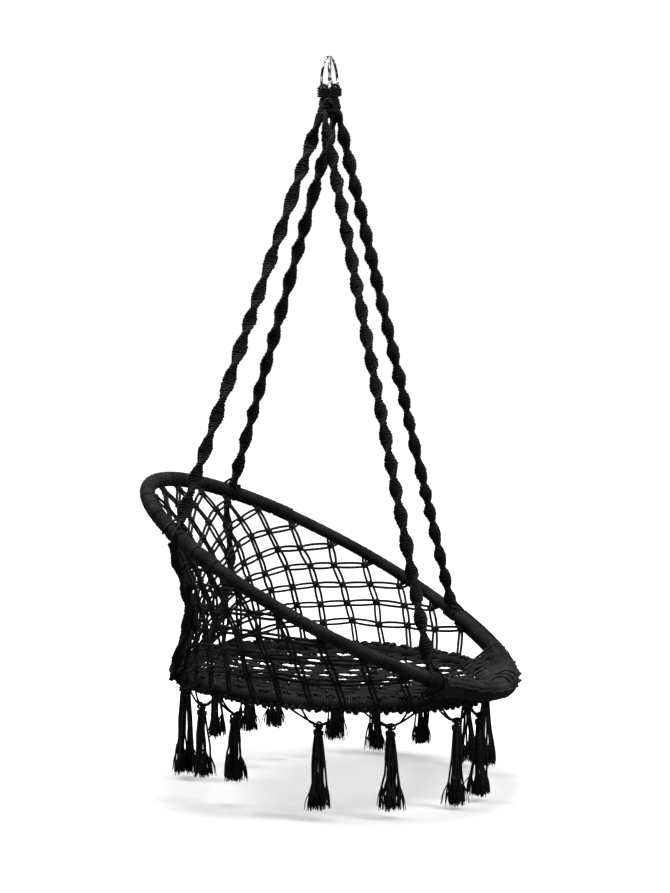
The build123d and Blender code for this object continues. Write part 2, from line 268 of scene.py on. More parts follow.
def piece(name, strands, kind, stands_for=(), body=None):
    """A shown piece made of strands, in place of some CAD nodes and riding on a body if given."""
    made = bpy.data.objects.new(name, strands.mesh(name))
    bpy.context.scene.collection.objects.link(made)
    made.data.materials.append(material(kind))
    if stands_for:
        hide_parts(*stands_for)
    if body:
        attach(made, body)
    return made


def bend_with_seat(made, arc):
    """Bakes a piece's placement into its mesh; the point on the net's line at that arc where the seat
    folds up is worked out but not used.
    """
    high, low = net_surface.ends(arc)
    step = 0.01
    along = unit(net_surface.ends(arc + step)[0] - net_surface.ends(arc - step)[0])
    down = (low - high) - along * float((low - high) @ along)
    Vector(high + down)
    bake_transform(made)


def coil(strands, hoop, start, end, reach, cord, pitch=None, steps=14, sides=5, rng=None):
    """A cord wound round a hoop from one angle to another, reach from the tube's centreline."""
    pitch = pitch or cord * 0.97
    turns = abs(math.radians(end - start)) * hoop.radius / pitch
    wrap = np.linspace(0, turns * 2 * np.pi, max(int(turns * steps), steps))
    angle = np.linspace(start, end, len(wrap))
    swell = np.zeros(len(wrap))
    if rng is not None:
        knots = rng.normal(0, 0.00025, max(int(turns * 3), 4))
        swell = np.interp(wrap, np.linspace(0, wrap[-1], len(knots)), knots)
    out, up = np.cos(wrap), np.sin(wrap)
    path = hoop.at(angle, out=(reach + swell) * out, up=(reach + swell) * up)
    guide = hoop.outward(angle) * column(out) + column(up) * hoop.axis
    strands.add(path, cord / 2, guide, sides)


def overhand(strands, centre, wide, tall, thick, cord, axes, sides=6, steps=40, turn=0.0):
    """A cord tied in an overhand knot that fills a box of that size, lying in the plane of axes."""
    t = np.linspace(0, 2 * np.pi, steps, endpoint=False)
    spread = (2 + np.cos(3 * t)) / 3
    x, y = spread * np.cos(2 * t + turn), spread * np.sin(2 * t + turn)
    z = np.sin(3 * t)
    along, down, out = axes
    path = (
        np.asarray(centre)
        + column(x * (wide - cord) / 2) * along
        + column(y * (tall - cord) / 2) * down
        + column(z * (thick - cord) / 2) * out
    )
    guide = column(z) * out + column(x) * along * 0.5 + column(y) * down * 0.5 + out * 0.01
    strands.add(path, cord / 2, guide, sides, True)


def frame_along(forward):
    """Two directions square to a line and to each other."""
    forward = unit(forward)
    side = unit(np.cross(forward, UP if abs(forward[2]) < 0.9 else ACROSS))
    return side, np.cross(forward, side)


def sennit(strands, start, end, sizes, half_turn, rng, narrow_ends=(0.0, 0.0), waist=None):
    """A band of half knots from start to end, which turns over as it goes."""
    wide, thick, cord, pitch = sizes
    start, end = np.asarray(start, float), np.asarray(end, float)
    length = float(np.linalg.norm(end - start))
    forward = (end - start) / length
    side, other = frame_along(forward)
    sway = rng.normal(0, 0.10, 12)
    swell = rng.normal(0, 0.035, 24)

    def band(s, x, y):
        share = s / length
        roll = np.pi * s / half_turn + np.interp(share, np.linspace(0, 1, 12), sway) * 3
        width = 1 + np.interp(share, np.linspace(0, 1, 24), swell)
        for near, narrow in zip((s, length - s), narrow_ends):
            width = width * np.where(narrow > 0, np.clip(0.55 + 0.45 * near / max(narrow, 1e-6), 0, 1), 1)
        across = column(np.cos(roll)) * side + column(np.sin(roll)) * other
        flat = column(-np.sin(roll)) * side + column(np.cos(roll)) * other
        offset = column(x * width) * across + column(y * width) * flat
        bow = 0 if waist is None else waist(share)
        return start + column(s) * forward + offset + bow, offset

    a, b = (wide - cord) / 2, (thick - cord) / 2
    for strand in (0, 1):
        s = np.linspace(cord / 2, length - cord / 2, int(length / pitch * 16))
        wrap = 2 * np.pi * s / pitch + np.pi * strand
        loose = rng.normal(0, 1, (3, int(length / pitch * 4)))
        steps = np.linspace(s[0], s[-1], loose.shape[1])
        proud, slip, lean = (np.interp(s, steps, row) for row in loose)
        x = (a + proud * 0.00035) * np.cos(wrap) * (1 + 0.07 * np.cos(2 * wrap))
        y = (b + proud * 0.00055) * np.sin(wrap) * (1 + 0.12 * np.cos(6 * wrap))
        path, offset = band(s + slip * 0.0006 + 0.0013 * np.sin(2 * wrap + 0.6 * lean), x, y)
        strands.add(path, cord / 2 * (0.90 + 0.24 * np.cos(wrap) ** 4), offset)
    s = np.linspace(0, length, int(length / 0.006))
    for x in (-0.52, 0, 0.52):
        path, _ = band(s, np.full(len(s), x * a), np.zeros(len(s)))
        strands.add(path, b * 0.98, side)


# ---- materials ----


class Socket:
    """An output in a material, so that shader maths is written as an expression."""

    def __init__(self, shader, node, output=0):
        self.shader, self.node, self.link = shader, node, node.outputs[output]

    def other(self, output):
        return Socket(self.shader, self.node, output)

    def maths(self, operation, *values):
        return self.shader.node("ShaderNodeMath", {"operation": operation}, dict(enumerate(values)))

    def __add__(self, value):
        return self.maths("ADD", self, value)

    def __sub__(self, value):
        return self.maths("SUBTRACT", self, value)

    def __mul__(self, value):
        return self.maths("MULTIPLY", self, value)

    def wave(self):
        """0 to 1 and back, once for each whole number."""
        return self.maths("SINE", self * math.tau) * 0.5 + 0.5


class Shader:
    """A material and its nodes."""

    def __init__(self, name):
        self.material = bpy.data.materials.new(name)
        self.material.use_nodes = True
        self.tree = self.material.node_tree
        self.tree.nodes.clear()

    def node(self, kind, settings=None, inputs=None, output=0):
        """Any node, with its settings made first and then its inputs given or linked."""
        made = self.tree.nodes.new(kind)
        for name, value in (settings or {}).items():
            setattr(made, name, value)
        for key, value in (inputs or {}).items():
            if isinstance(value, Socket):
                self.tree.links.new(value.link, made.inputs[key])
            else:
                made.inputs[key].default_value = value
        return Socket(self, made, output)

    def noise(self, scale, detail=3.0, rough=0.5, place=None):
        place = place or self.node("ShaderNodeTexCoord", output="Object")
        inputs = {"Vector": place, "Scale": scale, "Detail": detail, "Roughness": rough}
        return self.node("ShaderNodeTexNoise", None, inputs)

    def clamp(self, value, most=1.0):
        return self.node("ShaderNodeClamp", None, {0: value, 1: 0.0, 2: most})

    def mix(self, share, a, b):
        return self.node("ShaderNodeMix", {"data_type": "RGBA"}, {0: share, 6: a, 7: b}, 2)

    def finish(self, bump, distance, **inputs):
        """Ends the material in a Principled shader, with constants set on its own sockets."""
        normal = self.node("ShaderNodeBump", None, {"Height": bump, "Distance": distance, "Strength": 1.0})
        given = {name.replace("_", " "): value for name, value in inputs.items()}
        skin = self.node("ShaderNodeBsdfPrincipled", None, {"Normal": normal, **given})
        out = self.tree.nodes.new("ShaderNodeOutputMaterial")
        self.tree.links.new(skin.link, out.inputs["Surface"])
        return self.material


PLIES = 3  # twisted into each cord
FUZZ = 0.35  # how much of a cord's relief is loose fibre
RELIEF = 0.0008  # metres from the bottom of a groove between plies to the top of a ply


def cotton(name, look, ply_pitch, painted_lightness=1.0):
    """Dyed cotton cord: plies twisted round each other, loose fibres and uneven dye, with painted shade in
    the grooves between plies, painted highlight mixed into the worn patches, and painted light that makes
    some copies of it lighter than others.
    """
    shader = Shader(name)
    place = shader.node("ShaderNodeUVMap", {"uv_map": CORD_MAP})
    along = shader.node("ShaderNodeSeparateXYZ", None, {0: place})
    around = along.other(1)
    ply = (along * (1 / ply_pitch) + around * PLIES).wave()
    fibre = shader.noise(1500, 5, 0.7)
    patch = shader.noise(22, 3, 0.55)
    # Painted shade: the cotton is darker in the grooves between plies and lighter on their tops, mixed
    # with random tone from the fibres.
    deep = [c * 0.45 * painted_lightness for c in look.dye] + [1]
    face = [c * 1.15 * painted_lightness for c in look.dye] + [1]
    worn_dye_and_highlight_colour = [c * painted_lightness for c in look.worn_dye_and_highlight] + [1]
    share = ply * 0.62 + fibre * 0.38
    colour = shader.mix(share, deep, face)
    # Worn dye and painted highlight: random patches where the cotton is lighter.
    fade_and_highlight = (patch - 0.42) * 1.6
    wear_and_painted_light = shader.clamp(fade_and_highlight * fibre, 0.6)
    colour = shader.mix(wear_and_painted_light, colour, worn_dye_and_highlight_colour)
    height = ply * (1 - FUZZ) + fibre * FUZZ
    rough = fibre * 0.25 + 0.68
    return shader.finish(height, RELIEF, Base_Color=colour, Roughness=rough, Specular_IOR_Level=0.02)


def ring_metal(look):
    """Bright plated wire with fine draw lines and a little dulling, and painted reflection: bands of
    near-black in its colour stand in for dark reflections.
    """
    shader = Shader("bright_plated_wire")
    dull_and_reflection_noise = shader.noise(130, 3, 0.6)
    scratch = shader.noise(2200, 2, 0.5)
    wear_and_painted_light = shader.clamp((dull_and_reflection_noise - 0.51) * 9.0)
    # Painted reflection: where the noise is high the plating is full, elsewhere it is near-black.
    colour = shader.mix(wear_and_painted_light, [c * 0.04 for c in look.plating] + [1], list(look.plating) + [1])
    rough = dull_and_reflection_noise * 0.16 + scratch * 0.08 + 0.04
    return shader.finish(scratch, 0.00004, Base_Color=colour, Roughness=rough, Metallic=1.0)


def hoop_paint(look):
    """Satin black paint on steel tube, with a faint orange-peel skin."""
    shader = Shader("satin_black_paint")
    peel = shader.noise(420, 3, 0.5)
    rub = shader.noise(35, 5, 0.7)
    colour = shader.mix(rub, [c * 0.8 for c in look.paint] + [1], [c * 1.4 for c in look.paint] + [1])
    return shader.finish(peel, 0.00015, Base_Color=colour, Roughness=rub * 0.25 + 0.32)


FLOOR_PAINTED_GLOW_START = 0.30  # metres from the middle of the floor to where its painted glow starts to grow
FLOOR_PAINTED_GLOW_NEAR = 0.34  # how much it glows nearer than that, as a part of the full glow; this painted light lightens the chair's shadow on the floor


def floor_paint(look):
    """Matt studio paint that reads white: a dark grey that glows as painted light, weakly near the middle
    and fully further out, so the far floor is white and the chair's shadow is lightened.
    """
    shader = Shader("pale_floor")
    grain = shader.noise(60, 3, 0.5)
    tint = [c * 0.985 for c in look.floor] + [1]
    colour = shader.mix(grain, tint, list(look.floor) + [1])
    # Painted light: the floor glows as though lit, weakly near the middle and fully further out.
    place = shader.node("ShaderNodeTexCoord", None, None, 3)
    away = shader.node("ShaderNodeVectorMath", {"operation": "LENGTH"}, {0: place}, 1)
    painted_glow_share = shader.clamp((away - FLOOR_PAINTED_GLOW_START) * 1.3)
    painted_glow = shader.mix(painted_glow_share, [FLOOR_PAINTED_GLOW_NEAR] * 3 + [1], [1, 1, 1, 1])
    rough = grain * 0.1 + 0.82
    return shader.finish(
        grain, 0.0002, Base_Color=colour, Roughness=rough, Emission_Color=painted_glow, Emission_Strength=1.0
    )


def material(kind):
    """The chair's materials, each made once."""
    look = bpy.context.scene.chair_look
    makers = {
        "knotted_rope": lambda: cotton("black_cotton_rope", look, 0.010),
        # Painted light: the winding, the fringe and the edging are the same black cotton as the rope and
        # net, made into lighter copies by painted_lightness.
        "wound_cord": lambda: cotton("black_cotton_winding", look, 0.007, painted_lightness=1.35),
        "net_cord": lambda: cotton("black_cotton_net", look, 0.008),
        "tassel_cord": lambda: cotton("black_cotton_fringe", look, 0.008, painted_lightness=1.4),
        "edge_cord": lambda: cotton("black_cotton_edging", look, 0.009, painted_lightness=1.6),
        "bright_ring": lambda: ring_metal(look),
        "hoop_steel": lambda: hoop_paint(look),
    }
    if kind not in materials:
        materials[kind] = makers[kind]()
    return materials[kind]


materials = {}


# ---- settings ----


def length_setting(name, description, default):
    return bpy.props.FloatProperty(
        name=name, description=description, default=default, min=0.0, unit="LENGTH", subtype="DISTANCE"
    )


def colour_setting(name, description, default):
    return bpy.props.FloatVectorProperty(
        name=name, description=description, default=default, size=3, min=0, max=1, subtype="COLOR"
    )


class ChairSizes(bpy.types.PropertyGroup):
    """Sizes of the cords and knots that dress the frame."""

    rope_width: length_setting("Rope width", "Across the flat of a rope's band", 0.0250)
    rope_thickness: length_setting("Rope thickness", "Through a rope's band", 0.0145)
    rope_cord: length_setting("Rope cord", "Diameter of the cord that a rope is knotted from", 0.0052)
    rope_top_spacing: length_setting("Rope spacing", "Between ropes under the gather", 0.0272)
    winding_cord: length_setting("Winding cord", "Cord wound on the back hoop", 0.0036)
    net_cord: length_setting("Net cord", "Cord of the two nets", 0.0054)
    net_step: length_setting("Net step", "Along the hoop from one column of knots to the next", 0.044)
    net_row: length_setting("Net row", "Down the net from one row of knots to the next", 0.029)
    net_knot: length_setting("Net knot", "Width of a knot in the back net", 0.0175)
    seat_cord: length_setting("Seat winding cord", "Cord hitched round the seat hoop", 0.0052)
    edge_cord: length_setting("Edging cord", "Cord of the knotted front edge", 0.0054)
    tassel_cord: length_setting("Tassel cord", "Cord of the bridles and tassels", 0.0042)
    fray_length: length_setting("Fray", "Unravelled end of each tassel cord", 0.036)


class ChairLook(bpy.types.PropertyGroup):
    """Colours of the chair and its stage."""

    dye: colour_setting("Dye", "Cotton where it is fully black", (0.0017, 0.0017, 0.0018))
    # Partly thin, worn dye and partly painted highlight.
    worn_dye_and_highlight: colour_setting("Worn dye", "Cotton where the dye is thin", (0.0100, 0.0098, 0.0101))
    plating: colour_setting("Plating", "Hanging rings", (0.40, 0.40, 0.41))
    paint: colour_setting("Paint", "Steel hoops under the cord", (0.02, 0.02, 0.021))
    floor: colour_setting("Floor", "Studio floor under the lamps", (0.088, 0.088, 0.088))


# ---- operators ----


class ChairOperator(bpy.types.Operator):
    bl_options = {"REGISTER", "UNDO"}

    def execute(self, context):
        self.build(context.scene.chair_sizes)
        return {"FINISHED"}


class CHAIR_OT_stage(ChairOperator):
    """Add the camera, the floor and soft studio lights"""

    bl_idname = "chair.stage"
    bl_label = "Stage"

    EYE = Vector((-4.378, -0.994, -0.384))
    AIM = Vector((0.0, -0.0106, -0.7292))
    SKYWARD = Vector((0.075, 0.017, 0.997))
    LENS = 95.66
    FLOOR_GAP = 0.006  # under the lowest tassel
    FLOOR_REACH = 14
    SKY = 1.03
    LAMPS = (  # name, place, diameter and watts
        ("key", (-0.7, -2.7, 2.2), 1.5, 720),
        ("rim", (0.2, 2.7, 2.1), 1.5, 520),
        ("top", (0.2, 0.2, 2.6), 1.8, 760),
    )
    LAMP_AIM = Vector((0, 0, -0.9))

    def build(self, sizes):
        self.camera()
        self.floor()
        self.lights()

    def camera(self):
        data = bpy.data.cameras.new("camera")
        data.sensor_fit = "VERTICAL"
        data.sensor_height = 36
        data.lens = self.LENS
        data.clip_end = 60
        made = bpy.data.objects.new("camera", data)
        back_way = (self.EYE - self.AIM).normalized()
        right = self.SKYWARD.cross(back_way).normalized()
        top = back_way.cross(right)
        turn = Matrix((right, top, back_way)).transposed()
        made.matrix_world = Matrix.Translation(self.EYE) @ turn.to_4x4()
        bpy.context.scene.collection.objects.link(made)
        bpy.context.scene.camera = made

    def floor(self):
        level = min(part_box(node)[0].z for node in TASSEL_NODES) - self.FLOOR_GAP
        reach = self.FLOOR_REACH
        mesh = bpy.data.meshes.new("floor")
        corners = [(-reach, -reach, 0), (reach, -reach, 0), (reach, reach, 0), (-reach, reach, 0)]
        mesh.from_pydata(corners, [], [(0, 1, 2, 3)])
        made = bpy.data.objects.new("floor", mesh)
        made.location.z = level
        bpy.context.scene.collection.objects.link(made)
        made.data.materials.append(floor_paint(bpy.context.scene.chair_look))

    def lights(self):
        scene = bpy.context.scene
        scene.view_settings.view_transform = "Standard"
        world = bpy.data.worlds.new("studio")
        world.use_nodes = True
        sky = world.node_tree.nodes["Background"]
        sky.inputs["Color"].default_value = (1, 1, 1, 1)
        sky.inputs["Strength"].default_value = self.SKY
        scene.world = world
        for name, place, size, power in self.LAMPS:
            data = bpy.data.lights.new(name, "AREA")
            data.shape = "DISK"
            data.size = size
            data.energy = power
            made = bpy.data.objects.new(name, data)
            made.location = place
            made.rotation_euler = (self.LAMP_AIM - Vector(place)).to_track_quat("-Z", "Y").to_euler()
            scene.collection.objects.link(made)


class CHAIR_OT_steel(ChairOperator):
    """Plate the hanging rings and paint the steel hoops"""

    bl_idname = "chair.steel"
    bl_label = "Rings and hoops"

    def build(self, sizes):
        finishes = {"ring": "bright_ring", "tube": "hoop_steel", "coupler": "hoop_steel"}
        for node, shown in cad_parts.items():
            kind = finishes.get(node.rsplit("_", 1)[-1])
            if kind:
                shown.data.materials.clear()
                shown.data.materials.append(material(kind))


class CHAIR_OT_gather(ChairOperator):
    """Knot the four ropes together under the rings"""

    bl_idname = "chair.gather"
    bl_label = "Ring eyes and gather"

    EYE_CORD = 0.0048
    EYE_STRANDS = (-0.0062, -0.0021, 0.0021, 0.0062)  # where the cords of an eye lie across it
    EYE_WRAPS = 3.6
    BLOCK_CORD = 0.0054

    def build(self, sizes):
        rng = np.random.default_rng(3)
        self.eyes(sizes)
        self.block(sizes, rng)

    def eyes(self, sizes):
        for which in ("front", "rear"):
            node = f"{which}_ring_eye"
            low, high = corners_of(node)
            cord = self.EYE_CORD
            centre = (low + high) / 2
            tall, wide = (high - low)[2] / 2 - cord / 2, (high - low)[1] / 2 - cord / 2
            strands = Strands()
            turn = np.linspace(0, 2 * np.pi, 36, endpoint=False)
            for x in self.EYE_STRANDS:
                y = wide * np.cos(turn)
                z = wide * np.sin(turn) + np.sign(np.sin(turn)) * (tall - wide)
                path = centre + np.stack([np.full(len(turn), x), y, z], -1)
                strands.add(path, cord / 2, path - centre, 8, True)
            wrap = np.linspace(0, 2 * np.pi * self.EYE_WRAPS, 90)
            x, y = 0.0100 * np.cos(wrap), (wide + cord * 0.9) * np.sin(wrap)
            z = low[2] + 0.019 - wrap / (2 * np.pi) * cord
            path = np.stack([centre[0] + x, centre[1] + y, z], -1)
            strands.add(path, cord / 2, (path - centre) * (1, 1, 0), 7)
            piece(f"{node}_cords", strands, "knotted_rope", [node], body="chair")

    def block(self, sizes, rng):
        low, high = corners_of("rope_gather")
        tall = high[2] - low[2]
        cord = self.BLOCK_CORD
        strands = Strands()
        turns = tall / (cord * 0.93) + 1.6
        wrap = np.linspace(0, turns * 2 * np.pi, int(turns * 26))
        share = np.linspace(0, 1, len(wrap))
        wide = np.interp(share, (0, 1), (0.013, 0.0205)) - cord / 2
        deep = np.interp(share, (0, 1), (0.019, 0.0235)) - cord / 2
        ripple = 1 + 0.05 * np.sin(wrap * 3.3) + 0.03 * np.sin(wrap * 0.61)
        x, y = wide * np.cos(wrap) * ripple, deep * np.sin(wrap) * ripple
        z = high[2] - 0.001 - share * (tall + 0.004)
        path = np.stack([x, y, z], -1)
        strands.add(path, cord / 2, path * (1, 1, 0), 7)
        for turn in np.linspace(0, 2 * np.pi, 12, endpoint=False):
            top = np.array((0.008 * np.cos(turn), 0.013 * np.sin(turn), high[2] + 0.003))
            end = np.array((0.015 * np.cos(turn), 0.018 * np.sin(turn), low[2] - 0.014))
            line = smooth_line([top, (top + end) / 2, end], 10)
            strands.add(line, 0.0034, (np.cos(turn), np.sin(turn), 0.2))
        for side in (-1, 1):
            centre = (side * 0.0135, 0, (low[2] + high[2]) / 2)
            axes = (np.array((0.0, 1, 0)), -UP, ACROSS * side)
            overhand(strands, centre, 0.026, 0.022, 0.013, cord, axes, turn=0.4)
        piece("rope_gather_knots", strands, "knotted_rope", ["rope_gather"], body="chair")


class CHAIR_OT_ropes(ChairOperator):
    """Knot the four carrying ropes and tie them to the back hoop"""

    bl_idname = "chair.ropes"
    bl_label = "Ropes and hitches"

    GATHER_TURN = 68.0  # degrees that the chair hangs turned round from its gather
    PITCH = 0.0102  # along a rope from one half knot to the next
    HITCH_CORD = 0.0050
    # metres of each rope in which its band turns over once
    HALF_TURNS = {
        "front_rope_right": 0.049,
        "front_rope_left": 0.049,
        "rear_rope_right": 0.062,
        "rear_rope_left": 0.059,
    }

    def build(self, sizes):
        rng = np.random.default_rng(11)
        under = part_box("rope_gather")[0].z
        for name, half_turn in self.HALF_TURNS.items():
            end_name, _, side_name = name.split("_")
            side, fore = SIDES[side_name], -1 if end_name == "front" else 1
            angle = float(back.angle_of(middle(f"{end_name}_hitch_{side_name}")))
            tie = back.at(angle)
            half = sizes.rope_top_spacing / 2
            turn = math.radians(-self.GATHER_TURN)
            start = np.array(
                (
                    half * (side * math.cos(turn) - fore * math.sin(turn)),
                    half * (side * math.sin(turn) + fore * math.cos(turn)),
                    under - 0.004,
                )
            )
            way = unit(tie - start)
            end = tie - way * 0.015
            strands = Strands()
            band = (sizes.rope_width, sizes.rope_thickness, sizes.rope_cord, self.PITCH)
            sennit(strands, start, end, band, half_turn, rng, (0.05, 0.0))
            made = piece(f"{name}_knots", strands, "knotted_rope", [name], body="chair")
            line = [start + (end - start) * t for t in np.linspace(0, 1, 24)]
            float(np.linalg.norm(end - start))
            self.hitch(end_name, side_name, angle, way, sizes, rng)

    def hitch(self, end_name, side_name, angle, way, sizes, rng):
        node = f"{end_name}_hitch_{side_name}"
        cord = self.HITCH_CORD
        strands = Strands()
        half = back.degrees(0.015)
        reach = 0.0115 + cord * 0.45
        coil(strands, back, angle - half, angle + half, reach, cord, sides=6, steps=18, rng=rng)
        tie = back.at(angle)
        along = unit(back.at(angle + 0.5) - back.at(angle - 0.5))
        out = unit(-way - along * float(-way @ along))
        across = np.cross(along, out)
        centre = tie + out * 0.0150
        overhand(strands, centre, 0.030, 0.028, 0.015, cord, (along, across, out), turn=0.8)
        for k in (-1, 1):
            line = smooth_line(
                [
                    tie - way * 0.030 + along * k * 0.005,
                    tie - way * 0.020 + along * k * 0.009 + across * 0.008,
                    tie + along * k * 0.014 + across * 0.018,
                    tie + along * k * 0.017 - out * 0.013 + across * 0.013,
                ],
                16,
            )
            strands.add(line, cord / 2, out + across * 0.3)
        piece(f"{node}_knots", strands, "knotted_rope", [node], body="chair")


def front_tie(side_name):
    """How many degrees round the back hoop a front rope is tied."""
    return abs(float(back.angle_of(middle(f"front_hitch_{side_name}"))))


class CHAIR_OT_back_hoop(ChairOperator):
    """Wind cord round the back hoop, with thicker bands where the net hangs at the rear"""

    bl_idname = "chair.back_hoop"
    bl_label = "Back hoop winding"

    LEAD = 2.96  # degrees before a front hitch at which the winding begins
    BAND_ZONE = 62.0  # degrees each side of the rear that have bands
    BAND = 0.041
    BAND_CORD = 0.0030
    BAND_GAP = 0.005

    def build(self, sizes):
        rng = np.random.default_rng(5)
        cord = sizes.winding_cord
        strands = Strands()
        left, right = (front_tie(side) - self.LEAD for side in ("left", "right"))
        coil(strands, back, left, 360 - right, TUBE_RADIUS + cord * 0.42, cord, steps=12, rng=rng)
        piece("back_hoop_cords", strands, "wound_cord", ["back_hoop_winding"], body="chair")
        strands = Strands()
        angle = 180 - self.BAND_ZONE
        while angle < 180 + self.BAND_ZONE:
            width = back.degrees(self.BAND * rng.uniform(0.85, 1.2))
            reach = TUBE_RADIUS + cord * 0.8 + self.BAND_CORD * 0.40
            coil(strands, back, angle, angle + width, reach, self.BAND_CORD, rng=rng)
            angle += width + back.degrees(self.BAND_GAP)
        piece("back_hoop_bands", strands, "wound_cord", body="chair")


class CHAIR_OT_back_net(ChairOperator):
    """Knot the open net that climbs from the seat hoop to the back hoop"""

    bl_idname = "chair.back_net"
    bl_label = "Back net"

    SECTORS = 18
    END = 0.914  # the arc, each side of the rear, at which the net stops
    FIRST_ROW = 0.021
    LEAN = 0.38  # how much the columns of knots draw in to the rear as they go down
    OPENING = 0.0066  # between the two cords of a pair, half way

    def build(self, sizes):
        rng = np.random.default_rng(17)
        self.sizes, self.rng = sizes, rng
        self.sectors = [Strands() for _ in range(self.SECTORS)]
        knots = self.knots()
        for (i, j), spot in knots.items():
            self.tie(spot)
            if j == 0:
                for side in (-1, 1):
                    self.pair(spot, (spot[0] + side * 0.010, 0.009), 0.3)
            for side in (-1, 1):
                below = knots.get((i + side, j + 1))
                if below:
                    self.pair(spot, below)
                else:
                    self.run_out(spot, self.spot(i + side, j + 1))
        for number, strands in enumerate(self.sectors):
            if strands.total:
                name = f"back_net_{number + 1:02d}"
                made = piece(name, strands, "net_cord", ["back_net"])
                bend_with_seat(made, (number + 0.5) / self.SECTORS * 2 * self.END - self.END)

    def spot(self, i, j):
        arc, depth = self.sizes.net_step * i, self.FIRST_ROW + self.sizes.net_row * j
        draw = self.LEAN * depth * min(1, abs(arc) / 0.4)
        return arc - math.copysign(draw, arc) if arc else 0.0, depth

    def knots(self):
        found = {}
        for j in range(14):
            for i in range(-24, 25):
                arc, depth = self.spot(i, j)
                if (i + j) % 2 == 0 and abs(arc) < self.END and depth < net_surface.drop(arc) - 0.026:
                    loose = self.rng.normal(0, 0.0018, 2)
                    found[i, j] = (arc + loose[0], depth + loose[1])
        return found

    def sector(self, arc):
        share = (arc + self.END) / (2 * self.END)
        return self.sectors[min(max(int(share * self.SECTORS), 0), self.SECTORS - 1)]

    def tie(self, spot):
        size = self.sizes.net_knot
        cord = self.sizes.net_cord
        axes = net_surface.directions(*spot)
        tall = size * self.rng.uniform(0.8, 1.0)
        turn = self.rng.uniform(-0.4, 0.4)
        overhand(self.sector(spot[0]), net_surface.at(*spot), size, tall, 0.0125, cord, axes, turn=turn)

    def pair(self, spot, below, opening=1.0):
        t = np.linspace(0, 1, 11)
        arcs = spot[0] + (below[0] - spot[0]) * t
        depths = spot[1] + (below[1] - spot[1]) * t
        path = net_surface.at(arcs, depths)
        _, _, out = net_surface.directions(arcs, depths)
        across = np.cross(out, unit(np.gradient(path, axis=0)))
        strands = self.sector((spot[0] + below[0]) / 2)
        cord = self.sizes.net_cord
        for side in (-1, 1):
            gap = opening * self.rng.uniform(0.32, 0.55) * self.OPENING
            wide = 0.0021 + gap * np.sin(np.pi * t) ** 0.45
            slack = self.rng.normal(0, 0.0012) * np.sin(np.pi * t)
            line = path + across * column(side * wide) + out * column(slack)
            strands.add(line, cord / 2, out)

    def run_out(self, spot, below):
        """Cords that go on to the seat hoop where there is no knot below, or stop at the net's end."""
        for t in np.linspace(2, 0.1, 39):
            arc, depth = (a + (b - a) * t for a, b in zip(spot, below))
            if abs(arc) < self.END + 0.01 and depth < net_surface.drop(arc) + 0.004:
                break
        if t > 0.15:
            self.pair(spot, (arc, depth), 0.6)


